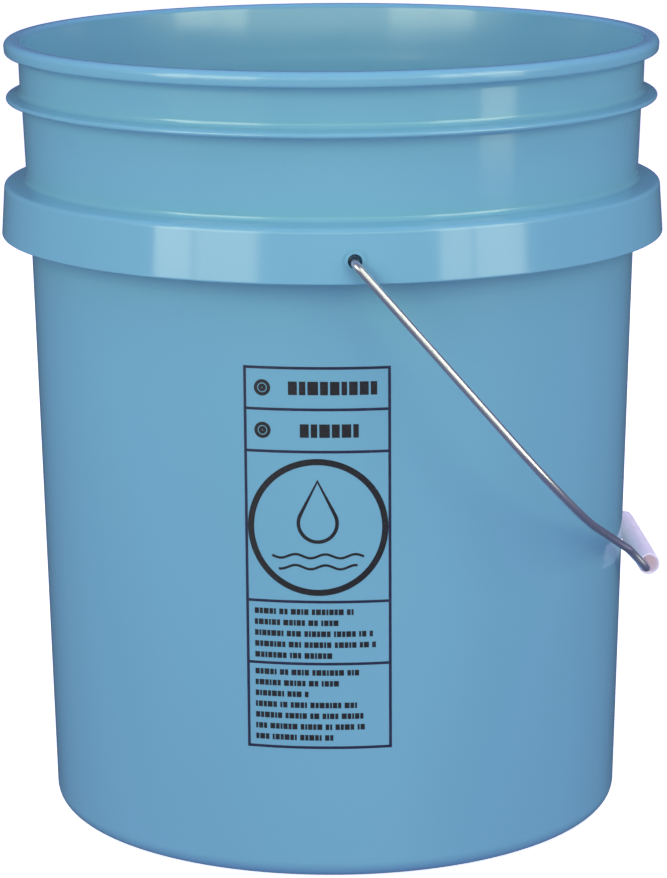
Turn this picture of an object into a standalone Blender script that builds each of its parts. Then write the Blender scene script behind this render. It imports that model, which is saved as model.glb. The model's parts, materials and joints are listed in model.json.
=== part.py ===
"""An open-head plastic pail of about 19 litres with a wire bail and a loose tube grip.

Units are metres and +Z is up. The pail stands on z = 0 round the Z axis, and the two ears that hold
the bail lie on the Y axis. The bail hangs down the +X side, where its grip lies close to the wall.
"""

import math

import bmesh
import bpy
from mathutils import Matrix, Vector

MM = 0.001

# ---- pail wall, foot and floor ----
PAIL_HEIGHT = 365.0 * MM
WALL_THICKNESS = 2.3 * MM
WALL_LOW_Z = 30.0 * MM
WALL_LOW_RADIUS = 134.85 * MM
WALL_TAPER = 0.0247  # growth of the outer radius for each unit of height
FLOOR_Z = 5.4 * MM
FLOOR_CORNER_RADIUS = 6.0 * MM
FOOT_CORNER_RADIUS = 8.0 * MM
FOOT_RING_INNER_RADIUS = 121.0 * MM
BASE_RECESS = 3.0 * MM
BASE_RECESS_RADIUS = 117.6 * MM
BASE_EDGE_WIDTH = 1.0 * MM
BASE_EDGE_HEIGHT = 0.5 * MM
GATE_RADIUS = 6.5 * MM  # the round mark in the middle of the underside
GATE_DROP = 0.9 * MM
GATE_SLOPE = 0.6 * MM

# ---- skirt: the deep band that carries the ears ----
SKIRT_BOTTOM_Z = 274.6 * MM
SKIRT_BOTTOM_RADIUS = 154.3 * MM
SKIRT_TOP_Z = 296.5 * MM
SKIRT_TOP_RADIUS = 152.85 * MM
SKIRT_THICKNESS = 2.3 * MM
SKIRT_EDGE_RADIUS = 2.2 * MM
SKIRT_LIP_RADIUS = 0.6 * MM
SKIRT_CORNER = 1.5 * MM
SHELF_EDGE_Z = 298.7 * MM
SHELF_WALL_Z = 299.8 * MM
SHELF_FILLET = 2.0 * MM
SHELF_RISE = 0.5 * MM  # the shelf's underside rises this much from the skirt to the wall

# ---- collar, stacking ring and neck ----
COLLAR_LOW_RADIUS = 142.5 * MM
COLLAR_HIGH_RADIUS = 143.75 * MM
RING_EDGE_RADIUS = 151.05 * MM
RING_EDGE_Z = 338.0 * MM
RING_HALF_THICKNESS = 1.2 * MM
RING_WALL_Z = 340.0 * MM
RING_FILLET = 2.4 * MM
RING_ROOT_DROP = 3.0 * MM
NECK_LOW_RADIUS = 144.6 * MM
NECK_HIGH_RADIUS = 144.95 * MM

# ---- inner face: where it steps out behind the shelf and behind the ring ----
SHELF_STEP_START = 4.0 * MM
SHELF_STEP_END = 6.0 * MM
RING_STEP_START = 4.0 * MM
RING_STEP_END = 3.0 * MM

# ---- rim ----
RIM_RADIUS = 151.6 * MM
RIM_INNER_RADIUS = 143.4 * MM
RIM_BOTTOM_Z = 358.3 * MM
RIM_OUTER_ROUND = 3.0 * MM
RIM_INNER_ROUND = 2.5 * MM
RIM_LOWER_ROUND = 1.4 * MM
RIM_LOWER_INSET = 0.2 * MM
RIM_FILLET = 2.5 * MM
RIM_FILLET_DROP = 0.3 * MM

# ---- ribs between the skirt and the wall ----
GUSSET_COUNT = 20
GUSSET_THICKNESS = 1.8 * MM
GUSSET_WALL_Z = 282.0 * MM
GUSSET_SKIRT_Z = 278.0 * MM
GUSSET_TOP_Z = 298.0 * MM
GUSSET_ROOT = 1.0 * MM  # how far a rib runs into the wall and the skirt

# ---- ears ----
EAR_Z = 284.76 * MM
EAR_HOLE_RADIUS = 3.15 * MM
EAR_LIP_RADIUS = 4.8 * MM
EAR_LIP_HEIGHT = 0.4 * MM
EAR_BOSS_RADIUS = 7.5 * MM
EAR_BOSS_DEPTH = 2.6 * MM
EAR_ROOT = 1.2 * MM  # how far the boss and the lip run into the skirt
HOLE_OVERRUN = 3.0 * MM
PIVOT_DROP = 0.95 * MM  # the wire hangs at the bottom of the hole

# ---- bail wire ----
WIRE_RADIUS = 1.88 * MM
WIRE_REST_ANGLE = math.radians(41.0)  # from straight down towards +X
LEG_OFFSET = 157.3 * MM
LEG_TILT = math.radians(4.9)
LEG_LENGTH = 103.4 * MM
PIVOT_TIP = 146.7 * MM
PIVOT_HEAD_RADIUS = 2.7 * MM
PIVOT_HEAD_LENGTH = 1.5 * MM
PIVOT_HEAD_SLOPE = 0.4 * MM
PIVOT_BEND_RADIUS = 3.0 * MM
SHOULDER_BEND_RADIUS = 62.6 * MM
SHOULDER_SLOPE = math.radians(27.3)
SHOULDER_LENGTH = 84.6 * MM
KICK_BEND_RADIUS = 12.0 * MM
KICK_TURN = math.radians(47.8)
KICK_LENGTH = 4.7 * MM
GRIP_BEND_RADIUS = 7.0 * MM

# ---- grip ----
GRIP_LENGTH = 84.0 * MM
GRIP_RADIUS = 5.1 * MM
GRIP_BORE_RADIUS = 4.1 * MM
GRIP_EDGE_ROUND = 0.4 * MM
GRIP_SHIFT = 1.9 * MM  # the tube's axis lies this far outside the wire it hangs on

# ---- resolution ----
PAIL_STEPS = 64
GRIP_STEPS = 32
EAR_SIDES = 24
ROUND_STEPS = 4
FILLET_STEPS = 2
WIRE_BEVEL_RESOLUTION = 4
WIDE_BEND_STEPS = 10
TIGHT_BEND_STEPS = 5
MERGE_DISTANCE = 0.01 * MM
SHARP_ANGLE = math.radians(40)

QUARTER_TURN = math.radians(90)


def clear_scene():
    for obj in list(bpy.data.objects):
        bpy.data.objects.remove(obj, do_unlink=True)


def collection_named(name, hidden=False):
    made = bpy.data.collections.new(name)
    made.hide_render = hidden
    bpy.context.scene.collection.children.link(made)
    return made


def surface_material(name, colour, roughness, metallic=0.0):
    material = bpy.data.materials.new(name)
    material.use_nodes = True
    shader = material.node_tree.nodes["Principled BSDF"]
    shader.inputs["Base Color"].default_value = colour
    shader.inputs["Roughness"].default_value = roughness
    shader.inputs["Metallic"].default_value = metallic
    return material


def blue_pail_plastic():
    return surface_material("blue_pail_plastic", (0.16, 0.42, 0.60, 1.0), 0.35)


def white_grip_plastic():
    return surface_material("white_grip_plastic", (0.85, 0.82, 0.83, 1.0), 0.45)


def galvanised_wire():
    return surface_material("galvanised_wire", (0.72, 0.73, 0.75, 1.0), 0.28, metallic=1.0)


def arc(centre, radius, start, end, steps):
    """Points of an arc in the (radius, height) plane, from start to end in degrees."""
    points = []
    for index in range(steps + 1):
        angle = math.radians(start + (end - start) * index / steps)
        points.append((centre[0] + radius * math.cos(angle), centre[1] + radius * math.sin(angle)))
    return points


def wall_radius(z):
    """Outer radius of the tapered wall, which runs on behind the skirt as far as the shelf."""
    return WALL_LOW_RADIUS + WALL_TAPER * (z - WALL_LOW_Z)


def skirt_radius(z):
    """Radius of the skirt's outer face, which flares a little towards its lower edge."""
    share = (SKIRT_TOP_Z - z) / (SKIRT_TOP_Z - SKIRT_BOTTOM_Z)
    return SKIRT_TOP_RADIUS + share * (SKIRT_BOTTOM_RADIUS - SKIRT_TOP_RADIUS)


def inside_profile():
    """From the middle of the floor out and up the inner face to the mouth."""
    corner_z = FLOOR_Z + FLOOR_CORNER_RADIUS
    inner = wall_radius(corner_z) - WALL_THICKNESS
    points = [(0.0, FLOOR_Z)]
    points += arc((inner - FLOOR_CORNER_RADIUS, corner_z), FLOOR_CORNER_RADIUS, -90, 0, ROUND_STEPS)
    points.append((wall_radius(SHELF_WALL_Z) - WALL_THICKNESS, SHELF_WALL_Z - SHELF_STEP_START))
    points.append((COLLAR_LOW_RADIUS - WALL_THICKNESS, SHELF_WALL_Z + SHELF_STEP_END))
    points.append((COLLAR_HIGH_RADIUS - WALL_THICKNESS, RING_EDGE_Z - RING_STEP_START))
    points.append((NECK_LOW_RADIUS - WALL_THICKNESS, RING_WALL_Z + RING_STEP_END))
    return points


def rim_profile():
    """From the inner edge of the mouth over the bead and down to the neck."""
    inner = (RIM_INNER_RADIUS + RIM_INNER_ROUND, PAIL_HEIGHT - RIM_INNER_ROUND)
    outer = (RIM_RADIUS - RIM_OUTER_ROUND, PAIL_HEIGHT - RIM_OUTER_ROUND)
    lower = (RIM_RADIUS - RIM_LOWER_INSET - RIM_LOWER_ROUND, RIM_BOTTOM_Z + RIM_LOWER_ROUND)
    fillet = (NECK_HIGH_RADIUS + RIM_FILLET, RIM_BOTTOM_Z - RIM_FILLET_DROP - RIM_FILLET)
    points = arc(inner, RIM_INNER_ROUND, 180, 90, ROUND_STEPS)
    points += arc(outer, RIM_OUTER_ROUND, 90, 0, ROUND_STEPS)
    points += arc(lower, RIM_LOWER_ROUND, 0, -90, FILLET_STEPS)
    points += arc(fillet, RIM_FILLET, 90, 180, FILLET_STEPS)
    return points


def ring_profile():
    """The thin stacking ring, from its upper fillet to the collar below it."""
    fillet = (NECK_LOW_RADIUS + RING_FILLET, RING_WALL_Z + RING_FILLET)
    edge = (RING_EDGE_RADIUS - RING_HALF_THICKNESS, RING_EDGE_Z)
    root = (COLLAR_HIGH_RADIUS + RING_HALF_THICKNESS, RING_EDGE_Z - RING_ROOT_DROP)
    points = arc(fillet, RING_FILLET, 180, 270, FILLET_STEPS)
    points += arc(edge, RING_HALF_THICKNESS, 90, -90, ROUND_STEPS)
    points += arc(root, RING_HALF_THICKNESS, 90, 180, FILLET_STEPS)
    return points


def skirt_profile():
    """The skirt's shelf, outer face and lower edge, then its open inside back to the wall."""
    fillet = (COLLAR_LOW_RADIUS + SHELF_FILLET, SHELF_WALL_Z + SHELF_FILLET)
    edge = (SKIRT_TOP_RADIUS - SKIRT_EDGE_RADIUS, SHELF_EDGE_Z - SKIRT_EDGE_RADIUS)
    lip_z = SKIRT_BOTTOM_Z + SKIRT_LIP_RADIUS
    outer_lip = (SKIRT_BOTTOM_RADIUS - SKIRT_LIP_RADIUS, lip_z)
    inner_lip = (SKIRT_BOTTOM_RADIUS - SKIRT_THICKNESS + SKIRT_LIP_RADIUS, lip_z)
    points = arc(fillet, SHELF_FILLET, 180, 270, FILLET_STEPS)
    points += arc(edge, SKIRT_EDGE_RADIUS, 90, 0, ROUND_STEPS)
    points += arc(outer_lip, SKIRT_LIP_RADIUS, 0, -90, FILLET_STEPS)
    points += arc(inner_lip, SKIRT_LIP_RADIUS, -90, -180, FILLET_STEPS)
    under_z = SHELF_EDGE_Z - SKIRT_THICKNESS
    skirt_side = skirt_radius(under_z) - SKIRT_THICKNESS
    wall_side = wall_radius(under_z)
    points.append((skirt_side, under_z - SKIRT_CORNER))
    points.append((skirt_side - SKIRT_CORNER, under_z))
    points.append((wall_side + SKIRT_CORNER, under_z + SHELF_RISE))
    points.append((wall_side, under_z + SHELF_RISE - SKIRT_CORNER))
    return points


def base_profile():
    """From the lower end of the wall round the foot to the middle of the underside."""
    corner = (wall_radius(FOOT_CORNER_RADIUS) - FOOT_CORNER_RADIUS, FOOT_CORNER_RADIUS)
    points = arc(corner, FOOT_CORNER_RADIUS, 0, -90, ROUND_STEPS)
    points.append((FOOT_RING_INNER_RADIUS, 0.0))
    points.append((FOOT_RING_INNER_RADIUS - BASE_EDGE_WIDTH, BASE_EDGE_HEIGHT))
    points.append((BASE_RECESS_RADIUS, BASE_RECESS - BASE_EDGE_HEIGHT))
    points.append((BASE_RECESS_RADIUS - BASE_EDGE_WIDTH, BASE_RECESS))
    points.append((GATE_RADIUS + GATE_SLOPE, BASE_RECESS))
    points.append((GATE_RADIUS, BASE_RECESS - GATE_DROP))
    points.append((0.0, BASE_RECESS - GATE_DROP))
    return points


def pail_profile():
    """The whole section: from the middle of the floor, up the inside, over the rim and down the outside."""
    return inside_profile() + rim_profile() + ring_profile() + skirt_profile() + base_profile()


def lathe(name, profile, steps, closed):
    """A profile of (radius, height) points turned once round the Z axis."""
    mesh = bpy.data.meshes.new(name)
    edges = [(index, index + 1) for index in range(len(profile) - 1)]
    if closed:
        edges.append((len(profile) - 1, 0))
    mesh.from_pydata([(radius, 0.0, z) for radius, z in profile], edges, [])
    obj = bpy.data.objects.new(name, mesh)
    screw = obj.modifiers.new("turn", "SCREW")
    screw.axis = "Z"
    screw.angle = math.tau
    screw.steps = steps
    screw.render_steps = steps
    screw.use_merge_vertices = True
    screw.merge_threshold = MERGE_DISTANCE
    return obj


def apply_and_shade(obj, material):
    """Puts the result of the modifiers in the object's mesh, smooth except along its sharp edges."""
    graph = bpy.context.evaluated_depsgraph_get()
    mesh = bpy.data.meshes.new_from_object(obj.evaluated_get(graph))
    obj.modifiers.clear()
    obj.data = mesh
    mesh.shade_smooth()
    mesh.set_sharp_from_angle(angle=SHARP_ANGLE)
    mesh.materials.clear()
    mesh.materials.append(material)


def make_helper(name, build, helpers):
    """A closed mesh that a Boolean joins to the pail or cuts from it."""
    mesh = bpy.data.meshes.new(name)
    shape = bmesh.new()
    build(shape)
    shape.to_mesh(mesh)
    shape.free()
    helper = bpy.data.objects.new(name, mesh)
    helper.display_type = "WIRE"
    helper.hide_render = True
    helpers.objects.link(helper)
    return helper


def build_gussets(shape):
    """Flat outlines of the ribs that tie the skirt to the wall; each ear lies midway between two."""
    wall_side = wall_radius(GUSSET_WALL_Z) - GUSSET_ROOT
    skirt_side = skirt_radius(GUSSET_SKIRT_Z) - GUSSET_ROOT
    outline = [
        (wall_side, GUSSET_WALL_Z),
        (skirt_side, GUSSET_SKIRT_Z),
        (skirt_side - GUSSET_ROOT, GUSSET_TOP_Z - SKIRT_EDGE_RADIUS),
        (skirt_side - SKIRT_EDGE_RADIUS - GUSSET_ROOT, GUSSET_TOP_Z),
        (wall_side, GUSSET_TOP_Z),
    ]
    for index in range(GUSSET_COUNT):
        turn = Matrix.Rotation(math.tau * (index + 0.5) / GUSSET_COUNT, 4, "Z")
        shape.faces.new([shape.verts.new(turn @ Vector((radius, 0.0, z))) for radius, z in outline])


def add_ear_cylinders(shape, radius, near, far):
    """A cylinder through each ear, along the Y axis, from near to far away from the pail's middle."""
    for direction in (-1, 1):
        middle = Vector((0.0, direction * (near + far) / 2, EAR_Z))
        bmesh.ops.create_cone(
            shape,
            cap_ends=True,
            segments=EAR_SIDES,
            radius1=radius,
            radius2=radius,
            depth=far - near,
            matrix=Matrix.Translation(middle) @ Matrix.Rotation(QUARTER_TURN, 4, "X"),
        )


def build_ear_bosses(shape):
    """The thick pad behind each hole."""
    outer_face = skirt_radius(EAR_Z)
    near = outer_face - SKIRT_THICKNESS - EAR_BOSS_DEPTH
    add_ear_cylinders(shape, EAR_BOSS_RADIUS, near, outer_face - EAR_ROOT)


def build_ear_lips(shape):
    """The low lip round each hole."""
    outer_face = skirt_radius(EAR_Z)
    add_ear_cylinders(shape, EAR_LIP_RADIUS, outer_face - EAR_ROOT, outer_face + EAR_LIP_HEIGHT)


def build_ear_holes(shape):
    outer_face = skirt_radius(EAR_Z)
    near = outer_face - SKIRT_THICKNESS - EAR_BOSS_DEPTH - HOLE_OVERRUN
    add_ear_cylinders(shape, EAR_HOLE_RADIUS, near, outer_face + HOLE_OVERRUN)


def boolean(target, other, operation):
    modifier = target.modifiers.new(other.name, "BOOLEAN")
    modifier.operation = operation
    modifier.solver = "EXACT"
    modifier.object = other


def make_pail(parts, helpers):
    pail = lathe("bucket_body", pail_profile(), PAIL_STEPS, closed=False)
    parts.objects.link(pail)
    gussets = make_helper("gussets", build_gussets, helpers)
    thickness = gussets.modifiers.new("thickness", "SOLIDIFY")
    thickness.thickness = GUSSET_THICKNESS
    thickness.offset = 0.0
    boolean(pail, gussets, "UNION")
    boolean(pail, make_helper("ear_bosses", build_ear_bosses, helpers), "UNION")
    boolean(pail, make_helper("ear_lips", build_ear_lips, helpers), "UNION")
    boolean(pail, make_helper("ear_holes", build_ear_holes, helpers), "DIFFERENCE")
    apply_and_shade(pail, blue_pail_plastic())


class WirePath:
    """A centreline drawn like a bent wire, in (across, reach) metres with across along the ear axis."""

    def __init__(self, across, heading, radius):
        self.place = Vector((across, 0.0))
        self.heading = heading  # angle from the reach direction, positive outwards
        self.points = [self.place.copy()]
        self.radii = [radius]

    def step(self, length, radius=WIRE_RADIUS):
        self.place = self.place + length * Vector((math.sin(self.heading), math.cos(self.heading)))
        self.points.append(self.place.copy())
        self.radii.append(radius)

    def bend(self, radius, turn, steps):
        half_step = turn / steps / 2
        for _ in range(steps):
            self.heading += half_step
            self.step(2 * radius * math.sin(abs(half_step)))
            self.heading += half_step


def half_bail():
    """One half of the bail's centreline with its radii, from the tip behind the ear to the grip."""
    path = WirePath(PIVOT_TIP, QUARTER_TURN, PIVOT_HEAD_RADIUS)
    path.step(PIVOT_HEAD_LENGTH, PIVOT_HEAD_RADIUS)
    path.step(PIVOT_HEAD_SLOPE)
    path.step(LEG_OFFSET - PIVOT_BEND_RADIUS - path.place.x)
    path.bend(PIVOT_BEND_RADIUS, LEG_TILT - path.heading, TIGHT_BEND_STEPS)
    path.step(LEG_LENGTH - PIVOT_BEND_RADIUS)
    path.bend(SHOULDER_BEND_RADIUS, SHOULDER_SLOPE - QUARTER_TURN - LEG_TILT, WIDE_BEND_STEPS)
    path.step(SHOULDER_LENGTH)
    path.bend(KICK_BEND_RADIUS, KICK_TURN, TIGHT_BEND_STEPS)
    path.step(KICK_LENGTH)
    path.bend(GRIP_BEND_RADIUS, -QUARTER_TURN - path.heading, TIGHT_BEND_STEPS)
    return path.points, path.radii


def full_bail():
    """The whole centreline: the +Y half, then the same half mirrored."""
    points, radii = half_bail()
    mirrored = [Vector((-point.x, point.y)) for point in reversed(points)]
    return points + mirrored, radii + list(reversed(radii))


def reach_direction():
    return Vector((math.sin(WIRE_REST_ANGLE), 0.0, -math.cos(WIRE_REST_ANGLE)))


def bail_normal():
    """Normal of the bail's plane, pointing away from the pail at rest."""
    return Vector((math.cos(WIRE_REST_ANGLE), 0.0, math.sin(WIRE_REST_ANGLE)))


def make_bail(parts):
    """The wire as a curve, thicker at its two tips, with its origin on the line through the ears."""
    points, radii = full_bail()
    curve = bpy.data.curves.new("bail_wire", "CURVE")
    curve.dimensions = "3D"
    curve.bevel_depth = WIRE_RADIUS
    curve.bevel_resolution = WIRE_BEVEL_RESOLUTION
    curve.use_fill_caps = True
    spline = curve.splines.new("POLY")
    spline.points.add(len(points) - 1)
    for knot, point, radius in zip(spline.points, points, radii):
        place = Vector((0.0, point.x, 0.0)) + reach_direction() * point.y
        knot.co = (*place, 1.0)
        knot.radius = radius / WIRE_RADIUS
    curve.materials.append(galvanised_wire())
    bail = bpy.data.objects.new("bail_wire", curve)
    bail.location = (0.0, 0.0, EAR_Z - PIVOT_DROP)
    parts.objects.link(bail)
    return bail


def grip_profile():
    """The tube's section, a closed loop round its wall."""
    half = GRIP_LENGTH / 2
    edge = GRIP_EDGE_ROUND
    points = [(GRIP_BORE_RADIUS, half - edge), (GRIP_BORE_RADIUS + edge, half)]
    points += arc((GRIP_RADIUS - edge, half - edge), edge, 90, 0, FILLET_STEPS)
    points += arc((GRIP_RADIUS - edge, edge - half), edge, 0, -90, FILLET_STEPS)
    points += [(GRIP_BORE_RADIUS + edge, -half), (GRIP_BORE_RADIUS, edge - half)]
    return points


def make_grip(parts, bail):
    """The tube, parented to the wire, with its origin on its own axis."""
    grip = lathe("handle_grip", grip_profile(), GRIP_STEPS, closed=True)
    parts.objects.link(grip)
    apply_and_shade(grip, white_grip_plastic())
    points, _ = half_bail()
    grip.parent = bail
    grip.location = reach_direction() * points[-1].y + bail_normal() * GRIP_SHIFT
    grip.rotation_euler = (QUARTER_TURN, 0.0, 0.0)


def main():
    clear_scene()
    parts = collection_named("plastic_pail")
    helpers = collection_named("pail_cutters", hidden=True)
    make_pail(parts, helpers)
    bail = make_bail(parts)
    make_grip(parts, bail)


main()
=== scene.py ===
"""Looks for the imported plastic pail: a finely turned body, a wire bail, a tube grip and a printed panel."""

import itertools
import json
import math

import bmesh
import bpy
from mathutils import Matrix, Vector

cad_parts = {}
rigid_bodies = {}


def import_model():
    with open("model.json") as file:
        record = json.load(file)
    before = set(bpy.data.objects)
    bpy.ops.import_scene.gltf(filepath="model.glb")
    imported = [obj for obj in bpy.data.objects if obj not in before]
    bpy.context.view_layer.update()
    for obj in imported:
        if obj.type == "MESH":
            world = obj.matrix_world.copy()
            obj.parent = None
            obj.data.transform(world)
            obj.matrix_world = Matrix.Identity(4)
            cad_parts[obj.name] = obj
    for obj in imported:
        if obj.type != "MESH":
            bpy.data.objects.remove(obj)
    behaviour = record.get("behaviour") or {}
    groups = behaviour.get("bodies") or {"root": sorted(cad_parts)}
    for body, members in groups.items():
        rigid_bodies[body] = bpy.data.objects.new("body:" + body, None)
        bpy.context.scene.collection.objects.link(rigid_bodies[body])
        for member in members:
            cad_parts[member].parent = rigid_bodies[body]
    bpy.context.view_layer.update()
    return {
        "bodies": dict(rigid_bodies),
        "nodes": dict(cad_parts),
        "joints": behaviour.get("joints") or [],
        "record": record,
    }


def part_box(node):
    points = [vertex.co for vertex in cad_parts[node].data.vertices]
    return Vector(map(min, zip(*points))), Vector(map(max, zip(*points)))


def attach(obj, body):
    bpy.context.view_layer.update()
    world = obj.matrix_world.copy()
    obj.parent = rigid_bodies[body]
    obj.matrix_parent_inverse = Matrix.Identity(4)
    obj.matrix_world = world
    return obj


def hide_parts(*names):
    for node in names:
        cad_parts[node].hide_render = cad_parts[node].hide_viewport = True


MM = 0.001
QUARTER_TURN = math.radians(90)

# ---- camera: turned a little off the ear, looking slightly down ----
CAMERA_AZIMUTH = math.radians(-3.58)
CAMERA_DISTANCE = 1.6164
CAMERA_HEIGHT = 0.5377
CAMERA_PITCH = math.radians(12.726)
CAMERA_ROLL = math.radians(-0.317)
CAMERA_LENS = 142.8
CAMERA_SENSOR = 36.0

# ---- pail section: the same driving sizes as the CAD part ----
WALL_THICKNESS = 2.3 * MM
WALL_LOW_Z = 30.0 * MM
WALL_LOW_RADIUS = 134.85 * MM
WALL_TAPER = 0.0247
FOOT_CORNER_RADIUS = 8.0 * MM
FOOT_RING_INNER_RADIUS = 121.0 * MM
BASE_RECESS = 3.0 * MM
BASE_RECESS_RADIUS = 117.6 * MM
BASE_EDGE_WIDTH = 1.0 * MM
BASE_EDGE_LOW = 0.5 * MM
BASE_EDGE_HIGH = 0.4 * MM
FLOOR_Z = 5.4 * MM
FLOOR_CORNER_RADIUS = 6.0 * MM
GATE_RADIUS = 6.5 * MM
GATE_DROP = 0.9 * MM
GATE_SLOPE = 0.6 * MM
GATE_ROUND = 0.4 * MM
SKIRT_BOTTOM_Z = 274.6 * MM
SKIRT_TOP_Z = 296.5 * MM
SKIRT_TOP_RADIUS = 152.85 * MM
SKIRT_EDGE_RADIUS = 2.2 * MM
SKIRT_THICKNESS = 2.3 * MM
SKIRT_LIP_RADIUS = 0.6 * MM
SKIRT_CORNER = 1.5 * MM
SHELF_WALL_Z = 299.8 * MM
SHELF_EDGE_Z = 298.7 * MM
SHELF_FILLET = 2.0 * MM
SHELF_RISE = 0.5 * MM
SHELF_ROOT_DROP = 1.2 * MM
COLLAR_LOW_RADIUS = 142.5 * MM
COLLAR_HIGH_RADIUS = 143.75 * MM
RING_EDGE_RADIUS = 151.05 * MM
RING_EDGE_Z = 338.0 * MM
RING_HALF_THICKNESS = 1.2 * MM
RING_WALL_Z = 340.0 * MM
RING_FILLET = 2.4 * MM
RING_ROOT_DROP = 3.0 * MM
NECK_LOW_RADIUS = 144.6 * MM
NECK_HIGH_RADIUS = 144.95 * MM
SHELF_STEP_START = 4.0 * MM
SHELF_STEP_END = 6.0 * MM
RING_STEP_START = 4.0 * MM
RING_STEP_END = 3.0 * MM
RIM_RADIUS = 151.6 * MM
RIM_INNER_RADIUS = 143.4 * MM
RIM_BOTTOM_Z = 358.3 * MM
RIM_OUTER_ROUND = 3.0 * MM
RIM_INNER_ROUND = 2.5 * MM
RIM_LOWER_ROUND = 1.4 * MM
RIM_LOWER_INSET = 0.2 * MM
RIM_FILLET = 2.5 * MM
RIM_FILLET_DROP = 0.3 * MM
GUSSET_COUNT = 20
GUSSET_THICKNESS = 1.8 * MM
GUSSET_WALL_Z = 282.0 * MM
GUSSET_SKIRT_Z = 278.0 * MM
GUSSET_TOP_Z = 298.0 * MM
GUSSET_ROOT = 1.0 * MM
EAR_Z = 284.76 * MM
EAR_HOLE_RADIUS = 3.15 * MM
EAR_LIP_RADIUS = 4.8 * MM
EAR_LIP_HEIGHT = 0.4 * MM
EAR_BOSS_RADIUS = 7.5 * MM
EAR_BOSS_DEPTH = 2.6 * MM
EAR_BOSS_ROOT = 1.0 * MM
EAR_LIP_ROOT = 1.2 * MM
HOLE_OVERRUN_INSIDE = 2.0 * MM
HOLE_OVERRUN_OUTSIDE = 3.0 * MM

# ---- bail and grip ----
WIRE_RADIUS = 1.88 * MM
WIRE_REST_ANGLE = math.radians(41.0)
LEG_OFFSET = 157.3 * MM
LEG_TILT = math.radians(4.9)
LEG_LENGTH = 103.4 * MM
PIVOT_BEND_RADIUS = 3.0 * MM
PIVOT_TIP = 146.7 * MM
PIVOT_HEAD_RADIUS = 2.7 * MM
PIVOT_HEAD_LENGTH = 1.5 * MM
PIVOT_HEAD_ROUND = 0.3 * MM
PIVOT_HEAD_SLOPE = 0.4 * MM
SHOULDER_BEND_RADIUS = 62.6 * MM
SHOULDER_SLOPE = math.radians(27.3)
SHOULDER_LENGTH = 84.6 * MM
KICK_BEND_RADIUS = 12.0 * MM
KICK_TURN = math.radians(47.8)
KICK_LENGTH = 4.7 * MM
GRIP_BEND_RADIUS = 7.0 * MM
GRIP_BORE_RADIUS = 4.1 * MM
GRIP_EDGE_ROUND = 0.5 * MM

# ---- printed panel, in arc length across and height up the wall ----
PANEL_AZIMUTH = math.radians(-6.53)
PANEL_WIDTH = 64.8 * MM
PANEL_TOP = 236.2 * MM
PANEL_BOTTOM = 61.9 * MM
PANEL_DIVIDERS = (217.1 * MM, 198.2 * MM, 130.1 * MM, 101.5 * MM)
PANEL_LINE = 1.25 * MM
PANEL_GAP = 0.02 * MM  # keeps the frame's upright and level lines from sharing an edge
RING_MARK_Z = 164.0 * MM
RING_MARK_RADIUS = 31.1 * MM
RING_MARK_STROKE = 2.8 * MM
INK_HEIGHT = 0.06 * MM
INK_STEP = 2.5 * MM
INK_ROW_STEP = 10.0 * MM
DROP_RISE = 2.0 * MM
DROP_RADIUS = 8.5 * MM
DROP_TIP = 19.0 * MM
DROP_STROKE = 1.6 * MM
RIPPLE_LEVELS = (-13.0 * MM, -18.0 * MM)
RIPPLE_MARGIN = 8.0 * MM
RIPPLE_HEIGHT = 0.9 * MM
RIPPLE_LENGTH = 2.1 * MM
RIPPLE_STROKE = 1.1 * MM
RIPPLE_PIECES = 60
HEADINGS = ((226.6 * MM, -12.5 * MM, 29.5 * MM), (207.6 * MM, -7.5 * MM, 21.0 * MM))  # height, left, right
HEADING_BARS = (3.9, 2.8, 4.6, 3.4, 4.1, 2.4, 3.7)
HEADING_HALF_HEIGHT = 3.0 * MM
HEADING_GAP = 0.9 * MM
DOT_PLACE = -24.0 * MM
DOT_RINGS = (1.0 * MM, 2.9 * MM)
DOT_STROKE = 1.5 * MM
PRINT_LEFT = -28.5 * MM
PRINT_PITCH = 5.05 * MM
PRINT_HALF_HEIGHT = 1.3 * MM
PRINT_BARS = (1.9, 1.4, 2.2, 1.6, 0.9)
PRINT_GROUPS = (5, 2, 4, 7, 3, 6)
PRINT_GAP = 0.4 * MM
PRINT_GROUP_GAP = 1.1 * MM
PRINT_LEAST = 2.0 * MM
UPPER_PRINT_Z = 125.4 * MM
UPPER_PRINT_ROWS = (45.5, 40.0, 54.5, 54.5, 37.0)
LOWER_PRINT_Z = 97.4 * MM
LOWER_PRINT_ROWS = (49.5, 39.5, 25.0, 46.5, 48.5, 49.5, 35.0)

# ---- colours ----
PAIL_BLUE = (0.196, 0.492, 0.520, 1)
PAIL_BLUE_LIGHT = (0.205, 0.506, 0.532, 1)
SCUFF_BLUE = (0.38, 0.62, 0.72, 1)
SCUFF_HEIGHT = 35.0 * MM
SCUFF_EDGE_START = 0.7 * MM
SCUFF_EDGE_END = 1.5 * MM
ZINC_DARK = (0.58, 0.59, 0.64, 1)
ZINC_LIGHT = (0.76, 0.76, 0.88, 1)
GRIP_WHITE = (0.94, 0.87, 0.85, 1)
GRIP_GRIME = (0.84, 0.77, 0.76, 1)
# painted glow: colour of a weak emission that brightens the grip though it is no lamp
GRIP_PAINTED_GLOW = (1.0, 0.86, 0.94, 1)
NAVY_INK = (0.014, 0.018, 0.055, 1)
NAVY_INK_THIN = (0.028, 0.042, 0.10, 1)
BLACK_INK = (0.012, 0.012, 0.016, 1)
BLACK_INK_THIN = (0.025, 0.032, 0.05, 1)
FLOOR_WHITE = (0.9, 0.9, 0.9, 1)

# ---- light: a yellowish key from upright boxes and a blue-violet fill from all round ----
LIGHT_DISTANCE = 1.6
KEY_COLOUR = (0.95, 1.0, 0.70)
FILL_COLOUR = (0.36, 0.31, 0.78)
ROOM_COLOUR = (0.06, 0.08, 0.14)
FRONT_GLOW = 2.6
GLOW_START = (0.00, 0.05)  # height of a direction, from dark to bright
GLOW_END = (0.30, 0.20)
GLOW_FRONT = (-0.05, -0.45)  # Y of a direction, from dark to bright
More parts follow.
